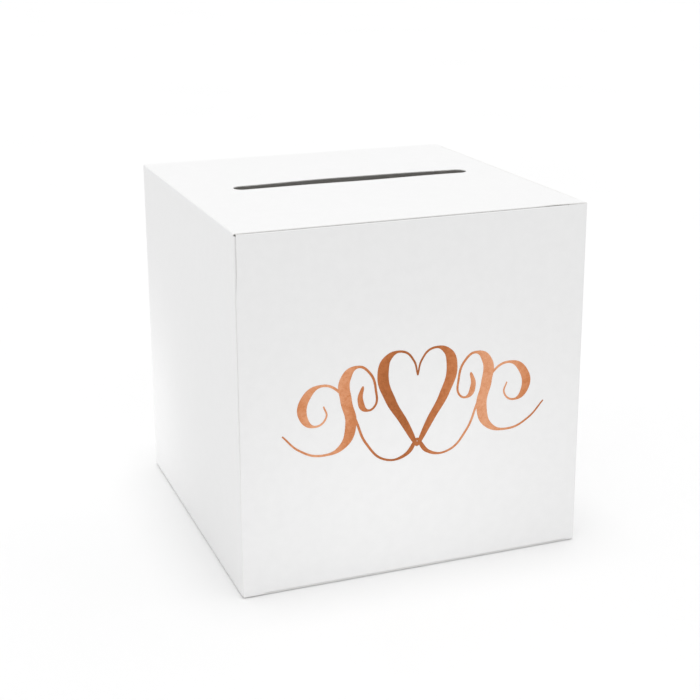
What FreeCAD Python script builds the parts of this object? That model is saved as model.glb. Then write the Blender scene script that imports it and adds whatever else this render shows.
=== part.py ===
import FreeCAD, Part

import math
import os
import re

import Sketcher

# A cube card box: one creased blank of coated board, glued at the front left corner.
# Lid hinged on the left wall and tucked behind the right wall, base the other way round.
# Millimetres. X runs right, Y runs back, Z runs up; the origin is the middle of the base.

V = FreeCAD.Vector
UP = V(0, 0, 1)
ACROSS = V(0, 1, 0)
ALONG = V(1, 0, 0)

doc = FreeCAD.newDocument("card_box")
sheet = doc.addObject("Spreadsheet::Sheet", "dims")

DRIVING = [
    ("box_width", "240", "outside, left wall to right wall"),
    ("box_depth", "240", "outside, front wall to back wall"),
    ("box_height", "240", "outside, table to lid face"),
    ("board_caliper", "0.6", "400 gsm folding board"),
    ("crease_inside", "0.4", "inside radius of a folded crease"),
    ("stack_gap", "0.1", "between a closing panel and the dust flap under it"),
    ("cut_relief", "0.5", "lid and base cut short of the front and back faces"),
    ("tuck_gap", "0.3", "tuck flap to the wall it slides behind"),
    ("raw_edge_drop", "0.4", "raw wall edge below the closing panel face"),
    ("tuck_height", "32", "tuck flap, crease to free edge"),
    ("tuck_tilt", "5", "tuck flap leans this far inward, degrees"),
    ("tuck_side_relief", "2.5", "tuck flap shorter than the lid at each end"),
    ("tuck_corner", "16", "rounded tuck flap corners"),
    ("slit_length", "12", "slit lock cut in from each end of the tuck crease"),
    ("slit_kerf", "0.4", "width of the slit"),
    ("slot_length", "175", "card slot in the lid, end to end"),
    ("slot_width", "13", "card slot in the lid"),
    ("slot_right", "5", "slot centre to the right of the lid's middle"),
    ("slot_back", "8", "slot centre behind the lid's middle"),
    ("slot_to_dust_flap", "15", "board left bare between the slot and the back dust flap"),
    ("dust_hinge_relief", "6", "dust flap short of the hinge side wall"),
    ("dust_tuck_relief", "14", "dust flap short of the tuck side wall"),
    ("dust_shoulder", "12", "straight part of a dust flap before the taper"),
    ("dust_hinge_taper", "6", "dust flap narrows toward the hinge side"),
    ("dust_tuck_taper", "14", "dust flap narrows toward the tuck side"),
    ("dust_corner", "8", "rounded dust flap corners"),
    ("ear_gap", "0.3", "wall ears beside a dust flap to the closing panel"),
    ("seam_set_back", "0.2", "front wall raw edge short of the left face"),
    ("glue_flap_width", "20", "crease to free edge"),
    ("glue_flap_drop", "21", "glue flap shortened at each end along its free edge"),
    ("glue_thickness", "0.1", "dried seam adhesive"),
    ("glue_margin", "2", "adhesive kept back from the flap edges"),
    ("foil_thickness", "0.05", "hot stamped foil standing on the board"),
    ("foil_half_span", "92", "flourish, middle of the heart to the tip of a swash"),
    ("foil_centre_height", "118", "middle of the flourish above the table"),
    ("foil_bold", "3.9", "half width of a full down stroke"),
    ("foil_hairline", "0.85", "half width of the thinnest line"),
]
DERIVED = [
    ("crease_radius", "=board_caliper + crease_inside"),
    ("closing_depth", "=board_caliper + stack_gap"),
    ("wall_end", "=closing_depth + crease_radius"),
    ("half_width", "=box_width / 2"),
    ("half_depth", "=box_depth / 2"),
    ("tuck_centre", "=half_width - board_caliper - tuck_gap - crease_radius"),
    ("lid_half_depth", "=half_depth - cut_relief"),
    ("dust_length", "=half_depth - slot_back - slot_width / 2 - slot_to_dust_flap"),
    ("ear_height", "=box_height - board_caliper - ear_gap"),
    ("dust_hinge_end", "=half_width - dust_hinge_relief"),
    ("dust_tuck_end", "=half_width - dust_tuck_relief"),
    ("seam_outside", "=half_depth - board_caliper - glue_thickness"),
    ("glue_flap_root", "=half_width - crease_radius"),
    ("tuck_root_half", "=lid_half_depth - slit_length"),
    ("tuck_half", "=lid_half_depth - tuck_side_relief"),
]
for row, (name, value, note) in enumerate(DRIVING, start=1):
    sheet.set(f"A{row}", name)
    sheet.set(f"B{row}", value)
    sheet.set(f"C{row}", note)
    sheet.setAlias(f"B{row}", name)
for row, (name, value) in enumerate(DERIVED, start=len(DRIVING) + 1):
    sheet.set(f"A{row}", name)
    sheet.set(f"B{row}", value)
    sheet.setAlias(f"B{row}", name)
doc.recompute()

NAMES = [line[0] for line in DRIVING + DERIVED]


def cell(name):
    """The number in a named cell."""
    return float(sheet.get(name))


def linked(text):
    """An expression on the sheet, from one written with the bare cell names."""
    return re.sub(r"[a-z_]+", lambda m: "dims." + m[0] if m[0] in NAMES else m[0], text)


def new_body(label):
    body = doc.addObject("PartDesign::Body", label)
    body.Label = label
    return body


def plane(body, role):
    return [f for f in body.Origin.OriginFeatures if f.Role == role][0]


def new_sketch(body, role, height="0"):
    """An empty sketch on one of the body's own planes, raised by height."""
    sketch = body.newObject("Sketcher::SketchObject", body.Name + "_sketch")
    sketch.AttachmentSupport = [(plane(body, role), "")]
    sketch.MapMode = "FlatFace"
    sketch.setExpression("AttachmentOffset.Base.z", linked(height))
    return sketch


def outline(sketch, corners):
    """A closed outline whose corners are pairs of expressions."""
    count = len(corners)
    for i in range(count):
        turn = 2 * math.pi * i / count
        after = 2 * math.pi * (i + 1) / count
        a = V(50 * math.cos(turn), 50 * math.sin(turn), 0)
        b = V(50 * math.cos(after), 50 * math.sin(after), 0)
        sketch.addGeometry(Part.LineSegment(a, b), False)
    for i in range(count):
        sketch.addConstraint(Sketcher.Constraint("Coincident", i, 2, (i + 1) % count, 1))
    for i, (across, up) in enumerate(corners):
        for kind, text in (("DistanceX", across), ("DistanceY", up)):
            n = sketch.addConstraint(Sketcher.Constraint(kind, -1, 1, i, 1, 1.0))
            sketch.setExpression(f"Constraints[{n}]", linked(text))


def pad(body, sketch, thickness):
    feature = body.newObject("PartDesign::Pad", body.Name + "_pad")
    feature.Profile = sketch
    feature.setExpression("Length", linked(thickness))
    doc.recompute()
    return feature


def round_corners(body, feature, radius, chosen):
    """Rounds the through-thickness edges whose middle passes the test."""
    names = []
    for i, edge in enumerate(feature.Shape.Edges, start=1):
        length = edge.Length
        middle = edge.CenterOfMass
        if length < 2 * cell("board_caliper") and chosen(middle):
            names.append(f"Edge{i}")
    fillet = body.newObject("PartDesign::Fillet", body.Name + "_corners")
    fillet.Base = (feature, names)
    fillet.setExpression("Radius", linked(radius))
    doc.recompute()
    return fillet


def place(body, x="0", y="0", z="0", turn=None, flipped=False):
    """Puts a body at an expression position; flipped turns it over for the base end."""
    turn = turn or FreeCAD.Rotation()
    if flipped:
        turn = FreeCAD.Rotation(ACROSS, 180).multiply(turn)
        x = f"-1 * ( {x} )"
        z = f"box_height - ( {z} )"
    body.Placement = FreeCAD.Placement(V(0, 0, 0), turn)
    body.setExpression("Placement.Base.x", linked(x))
    body.setExpression("Placement.Base.y", linked(y))
    body.setExpression("Placement.Base.z", linked(z))


ALONG_X = FreeCAD.Rotation(UP, -90)
ALONG_Y = FreeCAD.Rotation()
ALONG_Z = FreeCAD.Rotation(ALONG, 90)


def crease(label, line, ends, centre, start, turn="90", flipped=False):
    """The rolled strip of board between two panels, swept round the crease centre."""
    body = new_body(label)
    sketch = new_sketch(body, "XY_Plane")
    outline(sketch, [
        ("crease_inside", ends[0]),
        ("crease_radius", ends[0]),
        ("crease_radius", ends[1]),
        ("crease_inside", ends[1]),
    ])
    strip = body.newObject("PartDesign::Revolution", label + "_roll")
    strip.Profile = sketch
    strip.ReferenceAxis = (sketch, ["V_Axis"])
    strip.setExpression("Angle", linked(turn))
    rotation = line.multiply(FreeCAD.Rotation(ACROSS, start))
    place(body, *centre, turn=rotation, flipped=flipped)
    return body


def front_or_back(label, side):
    """Front and back walls: raw ears stand beside the dust flap creases."""
    body = new_body(label)
    left = "-half_width + seam_set_back" if side < 0 else "-half_width + crease_radius"
    right = "half_width - crease_radius"
    sketch = new_sketch(body, "XZ_Plane")
    low_ear = "box_height - ear_height"
    low = "wall_end"
    high = "box_height - wall_end"
    outline(sketch, [
        (left, low_ear),
        ("-dust_tuck_end", low_ear),
        ("-dust_tuck_end", low),
        ("dust_hinge_end", low),
        ("dust_hinge_end", low_ear),
        (right, low_ear),
        (right, "ear_height"),
        ("dust_tuck_end", "ear_height"),
        ("dust_tuck_end", high),
        ("-dust_hinge_end", high),
        ("-dust_hinge_end", "ear_height"),
        (left, "ear_height"),
    ])
    pad(body, sketch, "board_caliper")
    place(body, y="-half_depth + board_caliper" if side < 0 else "half_depth")


def side_wall(label, x, near, low, high):
    body = new_body(label)
    sketch = new_sketch(body, "YZ_Plane")
    far = "half_depth - crease_radius"
    outline(sketch, [(near, low), (far, low), (far, high), (near, high)])
    pad(body, sketch, "board_caliper")
    place(body, x=x)


def closing_panel(label, flipped, slotted):
    """The lid, and turned over the base: hinged on one wall, tucked at the other."""
    body = new_body(label)
    sketch = new_sketch(body, "XY_Plane")
    hinge = "-half_width + crease_radius"
    outline(sketch, [
        (hinge, "-lid_half_depth"),
        ("tuck_centre + crease_radius", "-lid_half_depth"),
        ("tuck_centre + crease_radius", "-tuck_root_half"),
        ("tuck_centre", "-tuck_root_half"),
        ("tuck_centre", "tuck_root_half"),
        ("tuck_centre + crease_radius", "tuck_root_half"),
        ("tuck_centre + crease_radius", "lid_half_depth"),
        (hinge, "lid_half_depth"),
    ])
    sheet_of_board = pad(body, sketch, "board_caliper")
    if slotted:
        cut_slot(body, sheet_of_board)
    place(body, z="box_height - board_caliper", flipped=flipped)


def cut_slot(body, blank):
    """Long slot with fully rounded ends, square through the board, set back from the middle."""
    sketch = body.newObject("Sketcher::SketchObject", "slot_sketch")
    sketch.AttachmentSupport = [(plane(body, "XY_Plane"), "")]
    sketch.MapMode = "FlatFace"
    r = cell("slot_width") / 2
    run = cell("slot_length") - 2 * r
    right = cell("slot_right") + run / 2
    left = right - run
    y = cell("slot_back")
    sketch.addGeometry(Part.LineSegment(V(left, y - r, 0), V(right, y - r, 0)), False)
    right_end = Part.Circle(V(right, y, 0), UP, r)
    left_end = Part.Circle(V(left, y, 0), UP, r)
    sketch.addGeometry(Part.ArcOfCircle(right_end, -math.pi / 2, math.pi / 2), False)
    sketch.addGeometry(Part.LineSegment(V(right, y + r, 0), V(left, y + r, 0)), False)
    sketch.addGeometry(Part.ArcOfCircle(left_end, math.pi / 2, 3 * math.pi / 2), False)
    for first, end, second, start in ((0, 2, 1, 1), (1, 2, 2, 1), (2, 2, 3, 1), (3, 2, 0, 1)):
        sketch.addConstraint(Sketcher.Constraint("Tangent", first, end, second, start))
    sketch.addConstraint(Sketcher.Constraint("Horizontal", 0))
    for constraint, text in (
        (("Radius", 1, r), "slot_width / 2"),
        (("DistanceX", 3, 3, 1, 3, run), "slot_length - slot_width"),
        (("DistanceX", -1, 1, 1, 3, right), "slot_right + ( slot_length - slot_width ) / 2"),
        (("DistanceY", -1, 1, 1, 3, y), "slot_back"),
    ):
        n = sketch.addConstraint(Sketcher.Constraint(*constraint))
        sketch.setExpression(f"Constraints[{n}]", linked(text))
    pocket = body.newObject("PartDesign::Pocket", "slot_cut")
    pocket.Profile = sketch
    pocket.Type = "ThroughAll"
    pocket.Midplane = True
    doc.recompute()
    if pocket.Shape.Volume > blank.Shape.Volume - 1:
        raise RuntimeError("the slot cut nothing")


def tuck_flap(label, flipped):
    """Rounded flap that slides down behind the wall, leaning in a little."""
    body = new_body(label)
    sketch = new_sketch(body, "XY_Plane", "crease_inside")
    outline(sketch, [
        ("0", "-tuck_root_half"),
        ("slit_kerf", "-tuck_root_half"),
        ("slit_kerf", "-tuck_half"),
        ("tuck_height", "-tuck_half"),
        ("tuck_height", "tuck_half"),
        ("slit_kerf", "tuck_half"),
        ("slit_kerf", "tuck_root_half"),
        ("0", "tuck_root_half"),
    ])
    flap = pad(body, sketch, "board_caliper")
    free_edge = cell("tuck_height") - 0.1
    round_corners(body, flap, "tuck_corner", lambda p: p.x > free_edge)
    lean = FreeCAD.Rotation(ACROSS, 90 + cell("tuck_tilt"))
    place(body, "tuck_centre", "0", "box_height - crease_radius", lean, flipped)
    half_turn = "180 + " if flipped else ""
    body.setExpression("Placement.Rotation.Angle", half_turn + "90 + dims.tuck_tilt")


def dust_flap(label, side, flipped):
    """Flap folded in from the front or back wall, under the lid or over the base."""
    body = new_body(label)
    sketch = new_sketch(body, "XY_Plane")
    sign = "" if side > 0 else "-1 * "
    root = f"{sign}( half_depth - crease_radius )"
    shoulder = f"{sign}( half_depth - crease_radius - dust_shoulder )"
    free = f"{sign}( half_depth - dust_length )"
    outline(sketch, [
        ("-dust_hinge_end", root),
        ("dust_tuck_end", root),
        ("dust_tuck_end", shoulder),
        ("dust_tuck_end - dust_tuck_taper", free),
        ("-dust_hinge_end + dust_hinge_taper", free),
        ("-dust_hinge_end", shoulder),
    ])
    flap = pad(body, sketch, "board_caliper")
    limit = cell("half_depth") - cell("dust_length") + 0.1
    round_corners(body, flap, "dust_corner", lambda p: abs(p.y) < limit)
    place(body, z="box_height - closing_depth - board_caliper", flipped=flipped)


def closing_end(name, flipped, slotted):
    """Every part of one closed end of the carton."""
    closing_panel(name + "_panel", flipped, slotted)
    level = "box_height - crease_radius"
    wall_line = ["-half_depth + crease_radius", "half_depth - crease_radius"]
    crease(name + "_hinge_crease", ALONG_Y, wall_line,
           ("-half_width + crease_radius", "0", level), 180, flipped=flipped)
    tuck_line = ["-tuck_root_half", "tuck_root_half"]
    crease(name + "_tuck_crease", ALONG_Y, tuck_line,
           ("tuck_centre", "0", level), -90, "90 + tuck_tilt", flipped)
    tuck_flap(name + "_tuck_flap", flipped)
    dust_line = ["-dust_hinge_end", "dust_tuck_end"]
    for where, side, start in (("front", -1, -90), ("back", 1, 180)):
        dust_flap(f"{name}_dust_flap_{where}", side, flipped)
        middle = "half_depth - crease_radius" if side > 0 else "-half_depth + crease_radius"
        crease(f"{name}_dust_crease_{where}", ALONG_X, dust_line,
               ("0", middle, "box_height - wall_end"), start, flipped=flipped)


def seam_part(label, thickness, y, left, right, low, high, drop):
    body = new_body(label)
    sketch = new_sketch(body, "XZ_Plane")
    outline(sketch, [
        (left, low),
        (right, f"{low} + {drop}"),
        (right, f"{high} - {drop}"),
        (left, high),
    ])
    pad(body, sketch, thickness)
    place(body, y=y)


front_or_back("front_wall", -1)
front_or_back("back_wall", 1)
side_wall("left_wall", "-half_width", "-seam_outside + crease_radius",
          "raw_edge_drop", "box_height - crease_radius")
side_wall("right_wall", "half_width - board_caliper", "-half_depth + crease_radius",
          "crease_radius", "box_height - raw_edge_drop")

UPRIGHT = ["box_height - ear_height", "ear_height"]
BACK_LINE = "half_depth - crease_radius"
SIDE_LINE = "half_width - crease_radius"
crease("front_right_crease", ALONG_Z, UPRIGHT, (SIDE_LINE, f"-1 * ( {BACK_LINE} )", "0"), -90)
crease("back_right_crease", ALONG_Z, UPRIGHT, (SIDE_LINE, BACK_LINE, "0"), 0)
crease("back_left_crease", ALONG_Z, UPRIGHT, (f"-1 * ( {SIDE_LINE} )", BACK_LINE, "0"), 90)
SEAM_ENDS = ["wall_end", "box_height - wall_end"]
crease("glue_flap_crease", ALONG_Z, SEAM_ENDS,
       (f"-1 * ( {SIDE_LINE} )", "-seam_outside + crease_radius", "0"), 180)
seam_part("glue_flap", "board_caliper", "-seam_outside + board_caliper",
          "-glue_flap_root", "-glue_flap_root + glue_flap_width",
          "wall_end", "box_height - wall_end", "glue_flap_drop")
seam_part("seam_adhesive", "glue_thickness", "-seam_outside",
          "-glue_flap_root + glue_margin", "-glue_flap_root + glue_flap_width - glue_margin",
          "wall_end + glue_flap_drop", "box_height - wall_end - glue_flap_drop", "0")

closing_end("lid", False, True)
closing_end("base", True, False)


# The foil stamp on the front: an open heart between two pen-drawn swashes.

def pen_line(points):
    """A smooth line through a few points of a drawing one half span wide."""
    curve = Part.BSplineCurve()
    curve.interpolate([V(x, 0, z) for x, z in points])
    return curve


def stroke(points, mirrored):
    """One stroke of a pointed pen: wide when it comes down, a hairline going up."""
    scale = cell("foil_half_span")
    bold = cell("foil_bold")
    hair = cell("foil_hairline")
    middle = V(0, -cell("half_depth"), cell("foil_centre_height"))
    curve = pen_line(points)
    count = 40
    first, last = curve.FirstParameter, curve.LastParameter
    left, right = [], []
    for i in range(count + 1):
        share = i / count
        u = first + (last - first) * share
        here = curve.value(u)
        along = curve.tangent(u)[0]
        side = V(-along.z, 0, along.x)
        ends = math.sin(math.pi * share) ** 0.5
        press = max(0.0, -along.z) ** 1.6
        half = hair * (0.55 + 0.45 * ends) + (bold - hair) * press * ends
        base = here * scale
        left.append(base + side * half)
        right.append(base - side * half)
    if mirrored:
        left = [V(-p.x, 0, p.z) for p in left]
        right = [V(-p.x, 0, p.z) for p in right]
    left = [p + middle for p in left]
    right = [p + middle for p in right]
    one = Part.BSplineCurve()
    one.interpolate(left)
    two = Part.BSplineCurve()
    two.interpolate(right)
    edges = [one.toShape(), Part.makeLine(left[-1], right[-1]), two.toShape(),
             Part.makeLine(right[0], left[0])]
    face = Part.Face(Part.Wire(Part.__sortEdges__(edges)))
    return face.extrude(V(0, -cell("foil_thickness"), 0))


HEART = [
    [(0.0, 0.2), (0.03, 0.31), (0.11, 0.385), (0.215, 0.36), (0.262, 0.235),
     (0.205, 0.04), (0.1, -0.14), (0.0, -0.33)],
]
SWASH = [
    [(0.0, -0.27), (0.09, -0.385), (0.24, -0.4), (0.385, -0.26), (0.47, -0.06),
     (0.565, 0.13), (0.71, 0.21), (0.83, 0.13), (0.845, -0.01), (0.76, -0.08),
     (0.68, -0.02), (0.7, 0.06)],
    [(0.41, 0.17), (0.43, 0.07), (0.385, -0.01), (0.325, 0.01), (0.315, 0.13),
     (0.36, 0.26), (0.45, 0.315), (0.54, 0.235), (0.535, 0.08), (0.5, -0.09),
     (0.56, -0.25), (0.72, -0.3), (0.88, -0.24), (1.0, -0.12)],
]


def foil(label, strokes):
    """Foil pieces that run into each other are one piece."""
    merged = strokes[0].multiFuse(strokes[1:]) if len(strokes) > 1 else strokes[0]
    merged = merged.removeSplitter()
    piece = doc.addObject("Part::Feature", label)
    piece.Label = label
    piece.Shape = merged.Solids[0] if len(merged.Solids) == 1 else merged


foil("foil_flourish",
     [stroke(line, side) for side in (False, True) for line in HEART + SWASH])

doc.recompute()
os.makedirs("parts", exist_ok=True)
bad = [o.Label for o in doc.Objects if "Invalid" in o.State or "Error" in o.State]
if bad:
    raise RuntimeError("not recomputed: " + ", ".join(bad))
pieces = [o for o in doc.Objects if o.TypeId in ("PartDesign::Body", "Part::Feature")]
for piece in pieces:
    if piece.Shape.isNull() or not piece.Shape.isValid():
        raise RuntimeError(piece.Label + " has no sound solid")
    piece.Shape.exportStep(os.path.join("parts", piece.Label + ".step"))
print(len(pieces), "pieces written")
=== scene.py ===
import math

import bmesh
import bpy
from mathutils import Matrix, Vector, noise
from mathutils.geometry import delaunay_2d_cdt


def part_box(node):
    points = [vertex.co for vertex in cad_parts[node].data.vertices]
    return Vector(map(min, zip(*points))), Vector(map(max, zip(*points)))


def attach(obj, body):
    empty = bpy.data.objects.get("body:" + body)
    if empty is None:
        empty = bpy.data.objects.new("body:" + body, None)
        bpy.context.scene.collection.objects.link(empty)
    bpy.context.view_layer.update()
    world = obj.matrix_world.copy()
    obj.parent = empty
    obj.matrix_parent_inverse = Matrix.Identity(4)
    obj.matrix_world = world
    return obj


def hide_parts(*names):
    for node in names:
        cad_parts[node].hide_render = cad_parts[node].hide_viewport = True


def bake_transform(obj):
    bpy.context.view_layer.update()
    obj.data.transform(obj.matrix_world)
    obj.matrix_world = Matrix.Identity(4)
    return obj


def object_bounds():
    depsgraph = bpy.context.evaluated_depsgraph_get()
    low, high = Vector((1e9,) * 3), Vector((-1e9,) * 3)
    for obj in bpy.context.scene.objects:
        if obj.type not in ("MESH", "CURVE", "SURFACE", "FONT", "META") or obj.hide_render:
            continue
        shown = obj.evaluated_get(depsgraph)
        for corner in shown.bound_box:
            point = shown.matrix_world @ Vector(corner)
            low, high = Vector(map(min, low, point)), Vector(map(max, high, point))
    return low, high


# A white carton for wedding cards: creased board, a slot in the lid, a copper foil stamp in front.
# Board panels and creases are drawn in millimetres and made metres when they are placed.

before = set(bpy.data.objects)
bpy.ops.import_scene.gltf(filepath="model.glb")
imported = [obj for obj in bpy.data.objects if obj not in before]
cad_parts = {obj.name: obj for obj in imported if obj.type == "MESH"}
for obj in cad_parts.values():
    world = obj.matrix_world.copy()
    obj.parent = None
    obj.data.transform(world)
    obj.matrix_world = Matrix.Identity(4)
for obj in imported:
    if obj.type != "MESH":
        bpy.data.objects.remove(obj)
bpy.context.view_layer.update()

MM = 0.001
X, Y, Z = Vector((1, 0, 0)), Vector((0, 1, 0)), Vector((0, 0, 1))


def span(node, axis):
    """Lowest and highest place of a CAD node along one axis, in millimetres."""
    low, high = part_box(node)
    return low[axis] / MM, high[axis] / MM


# Sizes of the carton, read from its solids.
LEFT, RIGHT = span("left_wall", 0)[0], span("right_wall", 0)[1]
FRONT, BACK = span("front_wall", 1)[0], span("back_wall", 1)[1]
TOP = span("lid_panel", 2)[1]
BOARD = TOP - span("lid_panel", 2)[0]
ROLL = span("lid_panel", 0)[0] - LEFT
ROLL_IN = ROLL - BOARD
LID_RIGHT = span("lid_panel", 0)[1]
LID_FRONT, LID_BACK = span("lid_panel", 1)
TUCK_ROOT = LID_RIGHT - ROLL
TUCK_LINE = span("lid_tuck_crease", 1)[1]
TUCK_SIDE = span("lid_tuck_flap", 1)[1]
TUCK_HEIGHT = 32.0
TUCK_CORNER = 16.0
TUCK_LEAN = math.radians(5)
SLIT_KERF = 0.4
DUST_TOP = span("lid_dust_flap_front", 2)[1]
DUST_LEFT, DUST_RIGHT = span("lid_dust_flap_front", 0)
DUST_FREE = span("lid_dust_flap_front", 1)[1]
DUST_SHOULDER, DUST_CORNER = 12.0, 8.0
# A dust flap narrows on its hinge side and, more, on its tuck side.
HINGE_TAPER, TUCK_TAPER = 6.0, 14.0
# The raw ears of the front and back walls stand up to a hair below the closing panels.
EAR = TOP - BOARD - 0.05
# The dust flaps fold about the top of the walls, the lid and its tuck flap a little higher.
WALL_TOP = DUST_TOP - ROLL
FOLD_LEVEL = TOP - ROLL
SEAM_Y = span("glue_flap", 1)[0]
GLUE_FLAP_DROP = 21.0
SLOT_LENGTH, SLOT_WIDTH = 175.0, 13.0
# The slot's middle, to the right of the lid's middle and behind it.
SLOT_RIGHT, SLOT_BACK = 5.0, 8.0
# Each lip of the slot stands back this far more in its middle.
LIP_BOW = 2.2

# How the board gives: walls bow, and waves from handling ride on the bow, each panel with a
# pattern of its own; flaps hang a little.
FRONT_BOW, FRONT_PATTERN = 0.9, 3.1
WAVE_LENGTH, WAVE_SHARE = 70.0, 0.6
LID_CROWN = 0.6
# The lid's front edge eases up over this depth, and curls up more near its right end.
EASE, EASE_DEPTH = 0.13, 40.0
CURL, CURL_AT, CURL_REACH = 0.3, 97.0, 9.0
# The sagging base holds the carton's edges about this far off the floor.
FLOOR_GAP = 0.42
DUST_SAG, DUST_SAG_RUN = 1.1, 100.0
# Along the left edge of the front wall a strip stands off the glue flap.
SEAM_LOOSE, SEAM_REACH = 0.5, 16.0
SEAM_FROM, SEAM_TO = 70.0, TOP - 2.0
# That edge falls short of the corner by one step low down and by another near the top.
LOW_SLIP, LOW_FROM, LOW_TO = 0.4, 75.0, 100.0
TOP_SLIP, TOP_FROM, TOP_TO = 0.9, 198.0, 216.0

# A painted glow of the board's bare side, in place of daylight that would come through the board;
# white paper outside is 1.
PAINTED_GLOW = 0.029


# Colours and materials.

def colour(text):
    """Linear colour from an sRGB hex value."""
    out = []
    for i in (1, 3, 5):
        c = int(text[i:i + 2], 16) / 255
        out.append(c / 12.92 if c <= 0.04045 else ((c + 0.055) / 1.055) ** 2.4)
    return (*out, 1.0)


def add(tree, kind, inputs=None, stops=(), **settings):
    """A node with its settings; an input takes a value or another node's output."""
    made = tree.nodes.new(kind)
    for key, value in settings.items():
        setattr(made, key, value)
    if stops:
        line = made.color_ramp.elements
        line[0].position, line[0].color = stops[0]
        line[1].position, line[1].color = stops[-1]
        for spot, shade in stops[1:-1]:
            line.new(spot).color = shade
    for key, value in (inputs or {}).items():
        if isinstance(value, bpy.types.NodeSocket):
            tree.links.new(value, made.inputs[key])
        else:
            made.inputs[key].default_value = value
    return made


def new_material(name):
    """An empty material, its node tree, and the place on the piece that patterns read."""
    made = bpy.data.materials.new(name)
    made.use_nodes = True
    made.node_tree.nodes.clear()
    return made, made.node_tree, add(made.node_tree, "ShaderNodeTexCoord").outputs["Object"]


def coated_face():
    """Clay-coated solid bleached board, calendered: bright, very even, a low satin sheen."""
    made, tree, where = new_material("clay_coated_bleached_board")
    # Formation: fibre clumps some 7 mm across show faintly through the coating.
    cloud = add(tree, "ShaderNodeTexNoise", {"Vector": where, "Scale": 1 / 0.007, "Detail": 3.0})
    tint = add(tree, "ShaderNodeValToRGB", {"Fac": cloud.outputs["Fac"]},
               stops=[(0.3, colour("#E9E9E9")), (0.7, colour("#EBEBEB"))])
    gloss = add(tree, "ShaderNodeMapRange", {
        "Value": cloud.outputs["Fac"], "From Min": 0.3, "From Max": 0.7,
        "To Min": 0.40, "To Max": 0.48})
    # Coating grain is finer than 0.3 mm; drawn at 1.2 mm so that it just shows.
    grain = add(tree, "ShaderNodeTexNoise", {"Vector": where, "Scale": 1 / 0.0012, "Detail": 4.0})
    # Slow waves from drying, 45 mm across.
    slow = add(tree, "ShaderNodeTexNoise", {"Vector": where, "Scale": 1 / 0.045, "Detail": 1.0})
    wave = add(tree, "ShaderNodeBump", {
        "Height": slow.outputs["Fac"], "Distance": 0.0006, "Strength": 0.5})
    relief = add(tree, "ShaderNodeBump", {
        "Height": grain.outputs["Fac"], "Distance": 0.00002, "Strength": 0.35,
        "Normal": wave.outputs["Normal"]})
    shader = add(tree, "ShaderNodeBsdfPrincipled", {
        "Base Color": tint.outputs["Color"], "Roughness": gloss.outputs["Result"], "IOR": 1.5,
        "Normal": relief.outputs["Normal"]})
    add(tree, "ShaderNodeOutputMaterial", {"Surface": shader.outputs["BSDF"]})
    return made


def bare_face():
    """Uncoated back of the board: matt, with visible fibre; a painted glow stands for daylight
    through it.
    """
    made, tree, where = new_material("uncoated_board_back")
    # Fibres about 2 mm long, matted every way into clumps of some 9 mm.
    fibre = add(tree, "ShaderNodeTexNoise", {
        "Vector": where, "Scale": 1 / 0.002, "Detail": 6.0, "Distortion": 1.4})
    cloud = add(tree, "ShaderNodeTexNoise", {"Vector": where, "Scale": 1 / 0.009, "Detail": 3.0})
    mixed = add(tree, "ShaderNodeMix", {
        "Factor": 0.5, "A": fibre.outputs["Fac"], "B": cloud.outputs["Fac"]})
    tint = add(tree, "ShaderNodeValToRGB", {"Fac": mixed.outputs["Result"]},
               stops=[(0.35, colour("#E2E1DE")), (0.65, colour("#EAE9E7"))])
    relief = add(tree, "ShaderNodeBump", {
        "Height": fibre.outputs["Fac"], "Distance": 0.00006, "Strength": 0.6})
    # The bare side glows with its own colour: painted light standing for daylight through the
    # board.
    shader = add(tree, "ShaderNodeBsdfPrincipled", {
        "Base Color": tint.outputs["Color"], "Roughness": 0.86, "IOR": 1.5,
        "Normal": relief.outputs["Normal"],
        "Emission Color": tint.outputs["Color"], "Emission Strength": PAINTED_GLOW})
    add(tree, "ShaderNodeOutputMaterial", {"Surface": shader.outputs["BSDF"]})
    return made


def cut_face():
    """Die-cut edge of the board: open fibre, creamier than the faces, a little furry."""
    made, tree, where = new_material("die_cut_board_edge")
    # Torn fibre ends every half millimetre along the cut.
    ends = add(tree, "ShaderNodeTexNoise", {"Vector": where, "Scale": 1 / 0.0005, "Detail": 5.0})
    tint = add(tree, "ShaderNodeValToRGB", {"Fac": ends.outputs["Fac"]},
               stops=[(0.3, colour("#E0DFDD")), (0.7, colour("#ECECEA"))])
    relief = add(tree, "ShaderNodeBump", {
        "Height": ends.outputs["Fac"], "Distance": 0.0001, "Strength": 0.7})
    shader = add(tree, "ShaderNodeBsdfPrincipled", {
        "Base Color": tint.outputs["Color"], "Roughness": 0.92, "IOR": 1.5,
        "Normal": relief.outputs["Normal"]})
    add(tree, "ShaderNodeOutputMaterial", {"Surface": shader.outputs["BSDF"]})
    return made


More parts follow.
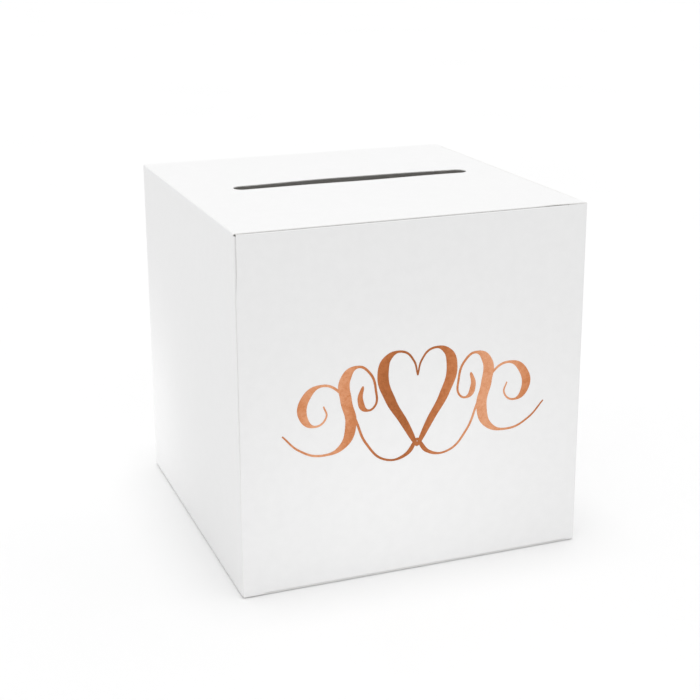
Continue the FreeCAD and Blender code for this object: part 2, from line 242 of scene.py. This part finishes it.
def copper_foil():
    """Hot-stamped copper foil: bright lacquered metal, its shine broken by the board's grain."""
    made, tree, where = new_material("hot_stamped_copper_foil")
    # Painted reflection: light and dark stripes 120 mm apart in the base colour stand for the room
    # mirrored in the foil; at scale 1 they are 2 pi / 20 apart.
    painted_reflection_bands = add(tree, "ShaderNodeTexWave", {
        "Vector": where, "Scale": math.pi / 10 / 0.12, "Distortion": 1.2, "Detail": 1.0,
        "Detail Scale": 1.5, "Phase Offset": 0.26}, bands_direction="X")
    # The stamp presses unevenly: darker and lighter patches about 55 mm across.
    patch = add(tree, "ShaderNodeTexNoise", {
        "Vector": where, "Scale": 1 / 0.055, "Detail": 1.5, "Roughness": 0.4})
    broad = add(tree, "ShaderNodeMix", {
        "Factor": 0.5, "A": painted_reflection_bands.outputs["Fac"], "B": patch.outputs["Fac"]})
    # Fine ripples of the foil over the board's grain, 3 mm apart.
    ripple = add(tree, "ShaderNodeTexNoise", {
        "Vector": where, "Scale": 1 / 0.003, "Detail": 4.0, "Distortion": 0.8})
    share = add(tree, "ShaderNodeMix", {
        "Factor": 0.3, "A": broad.outputs["Result"], "B": ripple.outputs["Fac"]})
    tint = add(tree, "ShaderNodeValToRGB", {"Fac": share.outputs["Result"]}, stops=[
        (0.25, colour("#A05F37")), (0.42, colour("#BA7247")),
        (0.58, colour("#CE875C")), (0.78, colour("#E8AC87"))])
    gloss = add(tree, "ShaderNodeMapRange", {
        "Value": ripple.outputs["Fac"], "From Min": 0.3, "From Max": 0.7,
        "To Min": 0.22, "To Max": 0.36})
    relief = add(tree, "ShaderNodeBump", {
        "Height": ripple.outputs["Fac"], "Distance": 0.00008, "Strength": 0.6})
    shader = add(tree, "ShaderNodeBsdfPrincipled", {
        "Base Color": tint.outputs["Color"], "Metallic": 1.0, "Roughness": gloss.outputs["Result"],
        "Normal": relief.outputs["Normal"]})
    add(tree, "ShaderNodeOutputMaterial", {"Surface": shader.outputs["BSDF"]})
    return made


def seam_glue():
    """Dried white carton glue: thin, slightly yellow, smooth where it was pressed."""
    made, tree, where = new_material("dried_pva_seam_glue")
    # Thicker and thinner spots of the film, 4 mm apart.
    film = add(tree, "ShaderNodeTexNoise", {"Vector": where, "Scale": 1 / 0.004, "Detail": 3.0})
    tint = add(tree, "ShaderNodeValToRGB", {"Fac": film.outputs["Fac"]},
               stops=[(0.3, colour("#DDD6C2")), (0.7, colour("#EAE6D8"))])
    shader = add(tree, "ShaderNodeBsdfPrincipled", {
        "Base Color": tint.outputs["Color"], "Roughness": 0.4, "IOR": 1.47})
    add(tree, "ShaderNodeOutputMaterial", {"Surface": shader.outputs["BSDF"]})
    return made


def studio_floor():
    """Matt white studio paper."""
    made, tree, where = new_material("studio_paper")
    # All but even: tone drifts over 0.3 m.
    cloud = add(tree, "ShaderNodeTexNoise", {"Vector": where, "Scale": 1 / 0.3, "Detail": 2.0})
    tint = add(tree, "ShaderNodeValToRGB", {"Fac": cloud.outputs["Fac"]},
               stops=[(0.3, colour("#EEEEEE")), (0.7, colour("#F0F0F0"))])
    shader = add(tree, "ShaderNodeBsdfPrincipled", {
        "Base Color": tint.outputs["Color"], "Roughness": 0.95, "Specular IOR Level": 0.2})
    add(tree, "ShaderNodeOutputMaterial", {"Surface": shader.outputs["BSDF"]})
    return made


FACE, BARE, CUT = coated_face(), bare_face(), cut_face()
FOIL, GLUE, PAPER = copper_foil(), seam_glue(), studio_floor()


# Board panels. Each is drawn flat in its own plane, outside face up, then bowed.

# The base closes as the lid does, turned over, which puts its hinge on the right.
TURN_OVER = Matrix.Translation(Z * TOP) @ Matrix.Rotation(math.pi, 4, "Y")
ARC_STEPS = 8


def part_way(value, start, end):
    """How far a value has come from start to end, between 0 and 1."""
    return min(max((value - start) / (end - start), 0.0), 1.0)


def arch(value, low, high, power):
    """0 at both ends of a run and 1 in its middle; a lower power rises sooner."""
    return math.sin(math.pi * part_way(value, low, high)) ** power


def swell(u, v, area, rise, pattern):
    """How far a panel stands off its plane: a slow bow with faint handling waves."""
    left, low, right, high = area
    hold = arch(u, left, right, 1.5) * arch(v, low, high, 1.5)
    wave = noise.noise(Vector((u / WAVE_LENGTH, v / WAVE_LENGTH, pattern)))
    return rise * hold * (1 + WAVE_SHARE * wave)


def ring(corners, step):
    """The outline with a point at least every step, as short straight runs."""
    out = []
    for (ax, ay), (bx, by) in zip(corners, corners[1:] + corners[:1]):
        count = max(1, math.ceil(math.hypot(bx - ax, by - ay) / step))
        for i in range(count):
            out.append((ax + (bx - ax) * i / count, ay + (by - ay) * i / count))
    return out


def rounded(corners, radius):
    """Rounds each corner by its own radius; 0 keeps it square."""
    out = []
    for i, corner in enumerate(corners):
        r = radius[i]
        here = Vector(corner)
        if not r:
            out.append(tuple(here))
            continue
        back = (Vector(corners[i - 1]) - here).normalized()
        on = (Vector(corners[(i + 1) % len(corners)]) - here).normalized()
        half = back.angle(on) / 2
        reach = r / math.tan(half)
        middle = here + (back + on).normalized() * (r / math.sin(half))
        start, end = here + back * reach - middle, here + on * reach - middle
        sweep = start.angle_signed(end)
        for k in range(ARC_STEPS + 1):
            turned = start.copy()
            turned.rotate(Matrix.Rotation(-sweep * k / ARC_STEPS, 2))
            out.append(tuple(middle + turned))
    return out


def inside(x, y, loop):
    """Whether a point lies within a closed outline."""
    hit = False
    for (ax, ay), (bx, by) in zip(loop, loop[1:] + loop[:1]):
        if (ay > y) != (by > y) and x < (bx - ax) * (y - ay) / (by - ay) + ax:
            hit = not hit
    return hit


def board(name, body, nodes, outline, across, up, origin, hole=None, lift=None,
          cell=5.0, turned=False):
    """A panel of board: coated outside, bare inside, cut edges all round."""
    outline = ring(outline, cell)
    loops = [outline] + ([ring(hole, cell / 2)] if hole else [])
    points, edges = [], []
    for loop in loops:
        base = len(points)
        points += loop
        edges += [(base + i, base + (i + 1) % len(loop)) for i in range(len(loop))]

    def on_board(x, y):
        return inside(x, y, outline) and not (hole and inside(x, y, loops[1]))

    # A grid of points inside, kept clear of the outline so that no sliver faces form.
    us, vs = [p[0] for p in outline], [p[1] for p in outline]
    u = min(us) + cell / 2
    while u < max(us):
        v = min(vs) + cell / 2
        while v < max(vs):
            near = min(math.hypot(u - p[0], v - p[1]) for p in points)
            if near > 0.4 * cell and on_board(u, v):
                points.append((u, v))
            v += cell
        u += cell
    flat = delaunay_2d_cdt([Vector(p) for p in points], edges, [], 0, 1e-6, False)
    verts, faces = flat[0], flat[2]
    # The fill also covers notches and the hole; those faces are dropped.
    kept = []
    for face in faces:
        cx = sum(verts[i].x for i in face) / len(face)
        cy = sum(verts[i].y for i in face) / len(face)
        if on_board(cx, cy):
            kept.append(face)
    out = across.cross(up)
    mesh = bmesh.new()
    top, under = [], []
    for p in verts:
        rise = lift(p.x, p.y) if lift else 0.0
        here = origin + across * p.x + up * p.y + out * rise
        top.append(mesh.verts.new(here))
        under.append(mesh.verts.new(here - out * BOARD))
    rim = []
    for face in kept:
        order = list(face)
        a, b, c = (verts[i] for i in order[:3])
        if (b - a).cross(c - a) < 0:
            order.reverse()
        mesh.faces.new([top[i] for i in order]).material_index = 0
        mesh.faces.new([under[i] for i in reversed(order)]).material_index = 1
        rim += zip(order, order[1:] + order[:1])
    both = set(rim)
    # A run that only one face walks along lies on the cut edge.
    for i, j in rim:
        if (j, i) not in both:
            mesh.faces.new([top[j], top[i], under[i], under[j]]).material_index = 2
    loose = [v for v in mesh.verts if not v.link_faces]
    bmesh.ops.delete(mesh, geom=loose, context="VERTS")
    place(name, body, nodes, mesh, [FACE, BARE, CUT], turned)


def place(name, body, nodes, mesh, materials, turned=False):
    """Makes a millimetre mesh a piece; it rides on the body, if one is named."""
    if turned:
        bmesh.ops.transform(mesh, matrix=TURN_OVER, verts=mesh.verts)
    bmesh.ops.scale(mesh, vec=(MM, MM, MM), verts=mesh.verts)
    data = bpy.data.meshes.new(name)
    mesh.to_mesh(data)
    mesh.free()
    for material in materials:
        data.materials.append(material)
    data.shade_smooth()
    data.set_sharp_from_angle(angle=math.radians(35))
    piece = bpy.data.objects.new(name, data)
    bpy.context.scene.collection.objects.link(piece)
    if body:
        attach(piece, body)
    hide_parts(*nodes)
    return piece


def wall(name, node, outline, across, origin, rise, pattern, loose=None):
    """A wall board that bows outward by rise; gives back the area that the bow covers."""
    us, vs = [p[0] for p in outline], [p[1] for p in outline]
    area = (min(us), min(vs), max(us), max(vs))

    def lift(u, v):
        return swell(u, v, area, rise, pattern) + (loose(u, v) if loose else 0.0)

    board(name, "walls", [node], outline, across, Z, origin, lift=lift)
    return area


def seam_gap(u, v):
    """The glued edge of the front wall stands off a little, except at its ends."""
    near = part_way(u, LEFT + SEAM_REACH, LEFT) ** 2
    return SEAM_LOOSE * near * arch(v, SEAM_FROM, SEAM_TO, 0.4)


def seam_slip(v):
    """The blank was glued out of square: its raw edge falls short of the corner higher up."""
    return LOW_SLIP * part_way(v, LOW_FROM, LOW_TO) + TOP_SLIP * part_way(v, TOP_FROM, TOP_TO)


def eared(left, right, low_relief, high_relief):
    """Front or back wall, its raw ears standing beside the dust flap creases."""
    low, foot = TOP - EAR, TOP - WALL_TOP
    return [(left, low), (low_relief[0], low), (low_relief[0], foot), (low_relief[1], foot),
            (low_relief[1], low), (right, low), (right, EAR), (high_relief[1], EAR),
            (high_relief[1], WALL_TOP), (high_relief[0], WALL_TOP), (high_relief[0], EAR),
            (left, EAR)]


front_left = span("front_wall", 0)[0]
hinge_first, tuck_first = (DUST_LEFT, DUST_RIGHT), (-DUST_RIGHT, -DUST_LEFT)
front_outline = eared(front_left, RIGHT - ROLL, tuck_first, hinge_first)
# The top left corner gives way to the slipped edge, from the top down.
slipped = (EAR, TOP_TO, TOP_FROM, LOW_TO, LOW_FROM)
front_outline = front_outline[:-1] + [(front_left + seam_slip(v), v) for v in slipped]
front_area = wall("front_wall_board", "front_wall", front_outline, X, Y * FRONT,
                  FRONT_BOW, FRONT_PATTERN, seam_gap)
back_outline = eared(LEFT + ROLL, RIGHT - ROLL, hinge_first, tuck_first)
wall("back_wall_board", "back_wall", back_outline, -X, Y * BACK, rise=0.8, pattern=9.4)
seam_edge = -span("left_wall", 1)[0]
left_low, left_high = span("left_wall", 2)
wall("left_wall_board", "left_wall",
     [(FRONT + ROLL, left_low), (seam_edge, left_low), (seam_edge, left_high),
      (FRONT + ROLL, left_high)], -Y, X * LEFT, rise=0.9, pattern=5.7)
right_low, right_high = span("right_wall", 2)
wall("right_wall_board", "right_wall",
     [(FRONT + ROLL, right_low), (BACK - ROLL, right_low), (BACK - ROLL, right_high),
      (FRONT + ROLL, right_high)], Y, X * RIGHT, rise=0.8, pattern=7.9)


def slot_outline():
    """Card slot with round ends; its lips ease apart in the middle."""
    out = []
    r = SLOT_WIDTH / 2
    far = SLOT_LENGTH / 2 - r
    steps, end_steps = 24, 12
    for side in (-1, 1):
        for i in range(steps + 1):
            share = 2 * i / steps - 1
            bow = LIP_BOW * math.cos(math.pi * share / 2) ** 2
            out.append((-side * far * share, side * (r + bow)))
        for k in range(1, end_steps):
            turn = math.pi * (k / end_steps + side / 2)
            out.append((-side * far + r * math.cos(turn), r * math.sin(turn)))
    return [(x + SLOT_RIGHT, y + SLOT_BACK) for x, y in out]


CLOSING_AREA = (LEFT + ROLL, LID_FRONT, TUCK_ROOT, LID_BACK)


def lid_rise(u, v):
    """The lid crowns a little, and its front edge eases up before the slit lock."""
    crown = swell(u, v, CLOSING_AREA, LID_CROWN, pattern=1.7)
    edge = part_way(v, LID_FRONT + EASE_DEPTH, LID_FRONT) ** 2
    along = arch(u, LEFT + ROLL, TUCK_ROOT, 0.35)
    curl = CURL * math.exp(-((u - CURL_AT) / CURL_REACH) ** 2)
    return crown + (EASE * along + curl) * edge


def closing_outline():
    """Lid or base, with the two ears of its slit lock beside the tuck crease."""
    return [(LEFT + ROLL, LID_FRONT), (LID_RIGHT, LID_FRONT), (LID_RIGHT, -TUCK_LINE),
            (TUCK_ROOT, -TUCK_LINE), (TUCK_ROOT, TUCK_LINE), (LID_RIGHT, TUCK_LINE),
            (LID_RIGHT, LID_BACK), (LEFT + ROLL, LID_BACK)]


def base_rise(u, v):
    """The base sags until its middle rests on what it stands on."""
    return swell(u, v, CLOSING_AREA, FLOOR_GAP, pattern=4.4)


board("lid_board", "lid", ["lid_panel"], closing_outline(), X, Y, Z * TOP,
      hole=slot_outline(), lift=lid_rise, cell=4.0)
board("base_board", "base", ["base_panel"], closing_outline(), X, Y, Z * TOP,
      lift=base_rise, turned=True)

tuck_down = Vector((-math.sin(TUCK_LEAN), 0, -math.cos(TUCK_LEAN)))
tuck_out = tuck_down.cross(Y)
tuck_origin = X * TUCK_ROOT + Z * FOLD_LEVEL + tuck_out * ROLL
tuck_outline = rounded(
    [(0, -TUCK_LINE), (SLIT_KERF, -TUCK_LINE), (SLIT_KERF, -TUCK_SIDE),
     (TUCK_HEIGHT, -TUCK_SIDE), (TUCK_HEIGHT, TUCK_SIDE), (SLIT_KERF, TUCK_SIDE),
     (SLIT_KERF, TUCK_LINE), (0, TUCK_LINE)],
    [0, 0, 0, TUCK_CORNER, TUCK_CORNER, 0, 0, 0])
for end, turned in (("lid", False), ("base", True)):
    board(f"{end}_tuck_board", f"{end}_tuck", [f"{end}_tuck_flap"], tuck_outline,
          tuck_down, Y, tuck_origin, turned=turned)


def dust_outline(side):
    """A dust flap, tapered so that it drops in past the side walls."""
    root = (BACK - ROLL) * side
    shoulder = (BACK - ROLL - DUST_SHOULDER) * side
    free = -DUST_FREE * side
    points = [(DUST_LEFT, root), (DUST_RIGHT, root), (DUST_RIGHT, shoulder),
              (DUST_RIGHT - TUCK_TAPER, free), (DUST_LEFT + HINGE_TAPER, free),
              (DUST_LEFT, shoulder)]
    corners = [0, 0, 0, DUST_CORNER, DUST_CORNER, 0]
    if side > 0:
        points.reverse()
        corners.reverse()
    return rounded(points, corners)


def sag(u, v):
    """A dust flap hangs a little away from the closing panel toward its free edge."""
    return -DUST_SAG * part_way(abs(v), BACK - ROLL, BACK - ROLL - DUST_SAG_RUN) ** 2


for end, turned in (("lid", False), ("base", True)):
    for where, side in (("front", -1), ("back", 1)):
        board(f"{end}_dust_board_{where}", f"{end}_dust_{where}",
              [f"{end}_dust_flap_{where}"], dust_outline(side), X, Y, Z * DUST_TOP,
              lift=sag, turned=turned)

flap_left, flap_right = span("glue_flap", 0)
flap_low, flap_high = span("glue_flap", 2)
board("glue_flap_board", "walls", ["glue_flap"],
      [(flap_left, flap_low), (flap_right, flap_low + GLUE_FLAP_DROP),
       (flap_right, flap_high - GLUE_FLAP_DROP), (flap_left, flap_high)],
      X, Z, Y * SEAM_Y, cell=8.0)


# Creases: a quarter roll of board, made by one rule and laid along each fold.

def socket(tree, name, kind, default=None, in_out="INPUT"):
    """A named input or output of a node tree."""
    made = tree.interface.new_socket(name=name, in_out=in_out, socket_type=kind)
    if default is not None:
        made.default_value = default


def roll_tree():
    """An arc of board, swept as a thick strip."""
    tree = bpy.data.node_groups.new("rolled_crease", "GeometryNodeTree")
    socket(tree, "Geometry", "NodeSocketGeometry", in_out="OUTPUT")
    socket(tree, "Crease Length", "NodeSocketFloat", TOP)
    socket(tree, "Inside Radius", "NodeSocketFloat", ROLL_IN)
    socket(tree, "Board Thickness", "NodeSocketFloat", BOARD)
    socket(tree, "Fold Angle", "NodeSocketFloat", math.pi / 2)
    socket(tree, "Material", "NodeSocketMaterial")
    given = add(tree, "NodeGroupInput").outputs
    half = add(tree, "ShaderNodeMath", {0: given["Board Thickness"], 1: 0.5}, operation="MULTIPLY")
    radius = add(tree, "ShaderNodeMath", {0: given["Inside Radius"], 1: half.outputs[0]})
    arc = add(tree, "GeometryNodeCurveArc", {
        "Resolution": 13, "Radius": radius.outputs[0], "Start Angle": 0.0,
        "Sweep Angle": given["Fold Angle"]}, mode="RADIUS")
    upright = add(tree, "GeometryNodeSetCurveNormal", {"Curve": arc.outputs["Curve"]}, mode="Z_UP")
    strip = add(tree, "GeometryNodeCurvePrimitiveQuadrilateral", {
        "Width": given["Board Thickness"], "Height": given["Crease Length"]}, mode="RECTANGLE")
    swept = add(tree, "GeometryNodeCurveToMesh", {
        "Curve": upright.outputs["Curve"], "Profile Curve": strip.outputs["Curve"],
        "Fill Caps": True})
    solid = add(tree, "GeometryNodeRealizeInstances", {"Geometry": swept.outputs["Mesh"]})
    shown = add(tree, "GeometryNodeSetMaterial", {
        "Geometry": solid.outputs["Geometry"], "Material": given["Material"]})
    add(tree, "NodeGroupOutput", {"Geometry": shown.outputs["Geometry"]})
    return tree


def grown(source, tree, values):
    """The plain mesh that a node tree makes of an object, or of nothing."""
    holder = source or bpy.data.objects.new("holder", bpy.data.meshes.new("holder"))
    bpy.context.scene.collection.objects.link(holder)
    modifier = holder.modifiers.new("grow", "NODES")
    modifier.node_group = tree
    for item in tree.interface.items_tree:
        if item.in_out == "INPUT" and item.name in values:
            modifier[item.identifier] = values[item.name]
    bpy.context.view_layer.update()
    seen = holder.evaluated_get(bpy.context.evaluated_depsgraph_get())
    data = bpy.data.meshes.new_from_object(seen)
    made = bmesh.new()
    made.from_mesh(data)
    bpy.data.objects.remove(holder)
    bpy.data.meshes.remove(data)
    bmesh.ops.remove_doubles(made, verts=made.verts, dist=1e-5)
    bmesh.ops.recalc_face_normals(made, faces=made.faces)
    return made


ROLL_TREE = roll_tree()


def crease(node, first, second, centre, length, fold=math.pi / 2, turned=False, joins=None):
    """Rolls from the first panel's outward direction to the second's."""
    made = grown(None, ROLL_TREE, {
        "Crease Length": length, "Inside Radius": ROLL_IN, "Board Thickness": BOARD,
        "Fold Angle": fold, "Material": FACE})
    skin = BOARD / 6
    for face in made.faces:
        far = face.calc_center_median().xy.length
        flat = abs(face.normal.z) > 0.9
        outside = far > ROLL - skin and not flat
        within = far < ROLL_IN + skin and not flat
        face.material_index = 0 if outside else 1 if within else 2
    turn = Matrix((first, second, first.cross(second))).transposed().to_4x4()
    bmesh.ops.transform(made, matrix=Matrix.Translation(centre) @ turn, verts=made.verts)
    piece = place(node.replace("crease", "fold"), None if joins else "walls", [node], made,
                  [FACE, BARE, CUT], turned)
    if joins:
        end = first * math.cos(fold) + second * math.sin(fold)
        points = [centre + first * ROLL_IN, centre + end * ROLL_IN]
        if turned:
            points = [TURN_OVER @ p for p in points]
        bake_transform(piece)


middle_height = TOP / 2
upright_run = 2 * EAR - TOP
for node, first, second in (("front_right_crease", -Y, X), ("back_right_crease", Y, X),
                            ("back_left_crease", Y, -X)):
    corner = (first + second) * (BACK - ROLL) + Z * middle_height
    crease(node, first, second, corner, upright_run)
crease("glue_flap_crease", -X, -Y,
       Vector((LEFT + ROLL, SEAM_Y + ROLL, middle_height)), flap_high - flap_low)
tuck_fold = math.pi / 2 + TUCK_LEAN
for end, turned in (("lid", False), ("base", True)):
    crease(f"{end}_hinge_crease", -X, Z, Vector((LEFT + ROLL, 0, FOLD_LEVEL)),
           BACK - FRONT - 2 * ROLL, turned=turned, joins=("walls", end))
    crease(f"{end}_tuck_crease", Z, X, Vector((TUCK_ROOT, 0, FOLD_LEVEL)),
           2 * TUCK_LINE, tuck_fold, turned, (end, f"{end}_tuck"))
    for where, side in (("front", -1), ("back", 1)):
        middle = Vector(((DUST_LEFT + DUST_RIGHT) / 2, side * (BACK - ROLL), WALL_TOP))
        crease(f"{end}_dust_crease_{where}", Y * side, Z, middle, DUST_RIGHT - DUST_LEFT,
               turned=turned, joins=("walls", f"{end}_dust_{where}"))


# The foil stamp: strokes of a pointed pen, wide coming down and a hairline going up.
# The points of its right half are set out in shares of half its width; the left half mirrors it.

HEART = [
    [(0.0, 0.2), (0.03, 0.31), (0.11, 0.385), (0.215, 0.36), (0.262, 0.235),
     (0.205, 0.04), (0.1, -0.14), (0.0, -0.33)],
]
SWASH = [
    [(0.0, -0.27), (0.09, -0.385), (0.24, -0.4), (0.385, -0.26), (0.47, -0.06),
     (0.565, 0.13), (0.71, 0.21), (0.83, 0.13), (0.845, -0.01), (0.76, -0.08),
     (0.68, -0.02), (0.7, 0.06)],
    [(0.41, 0.17), (0.43, 0.07), (0.385, -0.01), (0.325, 0.01), (0.315, 0.13),
     (0.36, 0.26), (0.45, 0.315), (0.54, 0.235), (0.535, 0.08), (0.5, -0.09),
     (0.56, -0.25), (0.72, -0.3), (0.88, -0.24), (1.0, -0.12)],
]
FOIL_HALF_WIDTH = 92.0
FOIL_MIDDLE = 118.0
# Half widths of a stroke; the nib spreads late as the stroke turns down, and a stroke starts
# and ends narrower than its hairline.
PEN_BOLD, PEN_HAIRLINE = 3.9, 0.85
PEN_SPREAD, PEN_TIP = 1.6, 0.55
# The film is drawn thicker than it is, and a little sunk into the board. Each stroke lies a
# hair above the one before it, so that crossings stay clean.
FILM, LAP, SUNK = 0.05, 0.015, 0.01


def pen_tree():
    """A ribbon of foil along a curve; its width follows the pen's direction."""
    tree = bpy.data.node_groups.new("pen_stroke", "GeometryNodeTree")
    socket(tree, "Geometry", "NodeSocketGeometry", in_out="OUTPUT")
    socket(tree, "Geometry", "NodeSocketGeometry")
    socket(tree, "Full Half Width", "NodeSocketFloat", PEN_BOLD)
    socket(tree, "Hairline Half Width", "NodeSocketFloat", PEN_HAIRLINE)
    socket(tree, "Foil Height", "NodeSocketFloat", FILM)
    socket(tree, "Material", "NodeSocketMaterial")
    given = add(tree, "NodeGroupInput").outputs
    line = add(tree, "GeometryNodeResampleCurve", {"Curve": given["Geometry"], "Count": 150})
    # Pressure: none on the way up, full straight down.
    way = add(tree, "ShaderNodeSeparateXYZ", {
        "Vector": add(tree, "GeometryNodeInputTangent").outputs["Tangent"]})
    down = add(tree, "ShaderNodeMath", {0: way.outputs["Y"], 1: -1.0}, operation="MULTIPLY")
    pressing = add(tree, "ShaderNodeMath", {0: down.outputs[0], 1: 0.0}, operation="MAXIMUM")
    press = add(tree, "ShaderNodeMath", {0: pressing.outputs[0], 1: PEN_SPREAD}, operation="POWER")
    # Both ends of a stroke taper.
    along = add(tree, "GeometryNodeSplineParameter").outputs["Factor"]
    half_turn = add(tree, "ShaderNodeMath", {0: along, 1: math.pi}, operation="MULTIPLY")
    hump = add(tree, "ShaderNodeMath", {0: half_turn.outputs[0]}, operation="SINE")
    whole = add(tree, "ShaderNodeMath", {0: hump.outputs[0], 1: 0.0}, operation="MAXIMUM")
    ends = add(tree, "ShaderNodeMath", {0: whole.outputs[0], 1: 0.5}, operation="POWER")
    # Half the width of the ribbon: the tapered hairline and what pressure adds to it.
    extra = add(tree, "ShaderNodeMath", {
        0: given["Full Half Width"], 1: given["Hairline Half Width"]}, operation="SUBTRACT")
    fill = add(tree, "ShaderNodeMath", {
        0: press.outputs[0], 1: extra.outputs[0]}, operation="MULTIPLY")
    shade = add(tree, "ShaderNodeMath", {0: fill.outputs[0], 1: ends.outputs[0]},
                operation="MULTIPLY")
    thin = add(tree, "ShaderNodeMath", {0: ends.outputs[0], 1: 1 - PEN_TIP, 2: PEN_TIP},
               operation="MULTIPLY_ADD")
    width = add(tree, "ShaderNodeMath", {
        0: thin.outputs[0], 1: given["Hairline Half Width"], 2: shade.outputs[0]},
        operation="MULTIPLY_ADD")
    upright = add(tree, "GeometryNodeSetCurveNormal", {"Curve": line.outputs["Curve"]}, mode="Z_UP")
    ribbon = add(tree, "GeometryNodeCurvePrimitiveLine", {
        "Start": (-1, 0, 0), "End": (1, 0, 0)}, mode="POINTS")
    fine = add(tree, "GeometryNodeResampleCurve", {"Curve": ribbon.outputs["Curve"], "Count": 9})
    flat = add(tree, "GeometryNodeCurveToMesh", {
        "Curve": upright.outputs["Curve"], "Profile Curve": fine.outputs["Curve"],
        "Scale": width.outputs[0], "Fill Caps": False})
    thick = add(tree, "GeometryNodeExtrudeMesh", {
        "Mesh": flat.outputs["Mesh"], "Offset": (0.0, 0.0, 1.0),
        "Offset Scale": given["Foil Height"], "Individual": False})
    joined = add(tree, "GeometryNodeJoinGeometry")
    back = add(tree, "GeometryNodeFlipFaces", {"Mesh": flat.outputs["Mesh"]})
    tree.links.new(thick.outputs["Mesh"], joined.inputs["Geometry"])
    tree.links.new(back.outputs["Mesh"], joined.inputs["Geometry"])
    solid = add(tree, "GeometryNodeRealizeInstances", {"Geometry": joined.outputs["Geometry"]})
    shown = add(tree, "GeometryNodeSetMaterial", {
        "Geometry": solid.outputs["Geometry"], "Material": given["Material"]})
    add(tree, "NodeGroupOutput", {"Geometry": shown.outputs["Geometry"]})
    return tree


def pen_curve(points, mirror):
    """A smooth open curve through a few points, in the plane of the paper."""
    data = bpy.data.curves.new("pen_line", "CURVE")
    data.dimensions = "3D"
    line = data.splines.new("BEZIER")
    line.bezier_points.add(len(points) - 1)
    line.resolution_u = 24
    for knot, (x, z) in zip(line.bezier_points, points):
        knot.co = (x * FOIL_HALF_WIDTH * mirror, z * FOIL_HALF_WIDTH, 0)
        knot.handle_left_type = knot.handle_right_type = "AUTO"
    return bpy.data.objects.new("pen_line", data)


PEN_TREE = pen_tree()
STROKES = HEART + SWASH
ornament = bmesh.new()
for mirror in (1, -1):
    for count, stroke in enumerate(STROKES):
        layer = count + (0 if mirror > 0 else len(STROKES))
        ribbon = grown(pen_curve(stroke, mirror), PEN_TREE, {
            "Full Half Width": PEN_BOLD, "Hairline Half Width": PEN_HAIRLINE,
            "Foil Height": FILM + LAP * layer, "Material": FOIL})
        scratch = bpy.data.meshes.new("scratch")
        ribbon.to_mesh(scratch)
        ribbon.free()
        ornament.from_mesh(scratch)
        bpy.data.meshes.remove(scratch)
for vert in ornament.verts:
    x, z, stand = vert.co.x, vert.co.y + FOIL_MIDDLE, vert.co.z
    bow = swell(x, z, front_area, FRONT_BOW, FRONT_PATTERN)
    vert.co = (x, FRONT - bow - stand + SUNK, z)
bmesh.ops.recalc_face_normals(ornament, faces=ornament.faces)
place("foil_stamp", "walls", ["foil_flourish"], ornament, [FOIL])

glue_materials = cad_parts["seam_adhesive"].data.materials
glue_materials.clear()
glue_materials.append(GLUE)


# The studio: white paper floor, even white surround, a broad light above and two low fills.

floor_mesh = bmesh.new()
bmesh.ops.create_grid(floor_mesh, x_segments=24, y_segments=24, size=12.0)
floor_data = bpy.data.meshes.new("studio_floor")
floor_mesh.to_mesh(floor_data)
floor_mesh.free()
floor_data.materials.append(PAPER)
floor_data.transform(Matrix.Translation(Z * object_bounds()[0][2]))
floor = bpy.data.objects.new("studio_floor", floor_data)
bpy.context.scene.collection.objects.link(floor)

world = bpy.data.worlds.new("white_surround")
bpy.context.scene.world = world
world.use_nodes = True
surround = world.node_tree.nodes["Background"].inputs
surround["Color"].default_value = (1, 1, 1, 1)
surround["Strength"].default_value = 0.9


def lamp(kind, name, stand, aim, power, **settings):
    """A lamp that lights the set and can't be seen itself."""
    data = bpy.data.lights.new(name, kind)
    data.energy = power
    for key, value in settings.items():
        setattr(data, key, value)
    made = bpy.data.objects.new(name, data)
    made.location = stand
    made.rotation_euler = (Vector(aim) - Vector(stand)).to_track_quat("-Z", "Y").to_euler()
    made.visible_camera = False
    bpy.context.scene.collection.objects.link(made)


lamp("SUN", "overhead_bank", (0, 0, 1.6), (0, 0, 0), power=0.85, angle=math.radians(25))
# Two weak cards at floor level lift the foot of the front and the far foot of the left side.
lamp("AREA", "low_front_fill", (-0.15, -0.6, 0.01), (0, -0.12, 0), power=0.028,
     size=0.2, spread=math.radians(35))
lamp("AREA", "rear_left_fill", (-0.5, 0.22, 0.02), (-0.12, 0.14, 0.02), power=0.025,
     size=0.15, spread=math.radians(35))

bpy.context.scene.view_settings.view_transform = "Standard"

# The camera stands to the left of the front and looks a little down. Its longish lens is
# shifted, so that uprights stay nearly upright.
lens = bpy.data.cameras.new("camera")
lens.sensor_width = 36.0
lens.lens = 72.47
lens.shift_y = -0.0714
lens.clip_end = 60.0
camera = bpy.data.objects.new("camera", lens)
camera.location = (-0.344, -0.9064, 0.4347)
heading, drop, tilt = math.radians(20.75), math.radians(16.14), math.radians(-0.23)
ahead = Vector((math.sin(heading) * math.cos(drop), math.cos(heading) * math.cos(drop),
                -math.sin(drop)))
camera.rotation_euler = (ahead.to_track_quat("-Z", "Y").to_matrix()
                         @ Matrix.Rotation(tilt, 3, "Z")).to_euler()
bpy.context.scene.collection.objects.link(camera)
bpy.context.scene.camera = camera
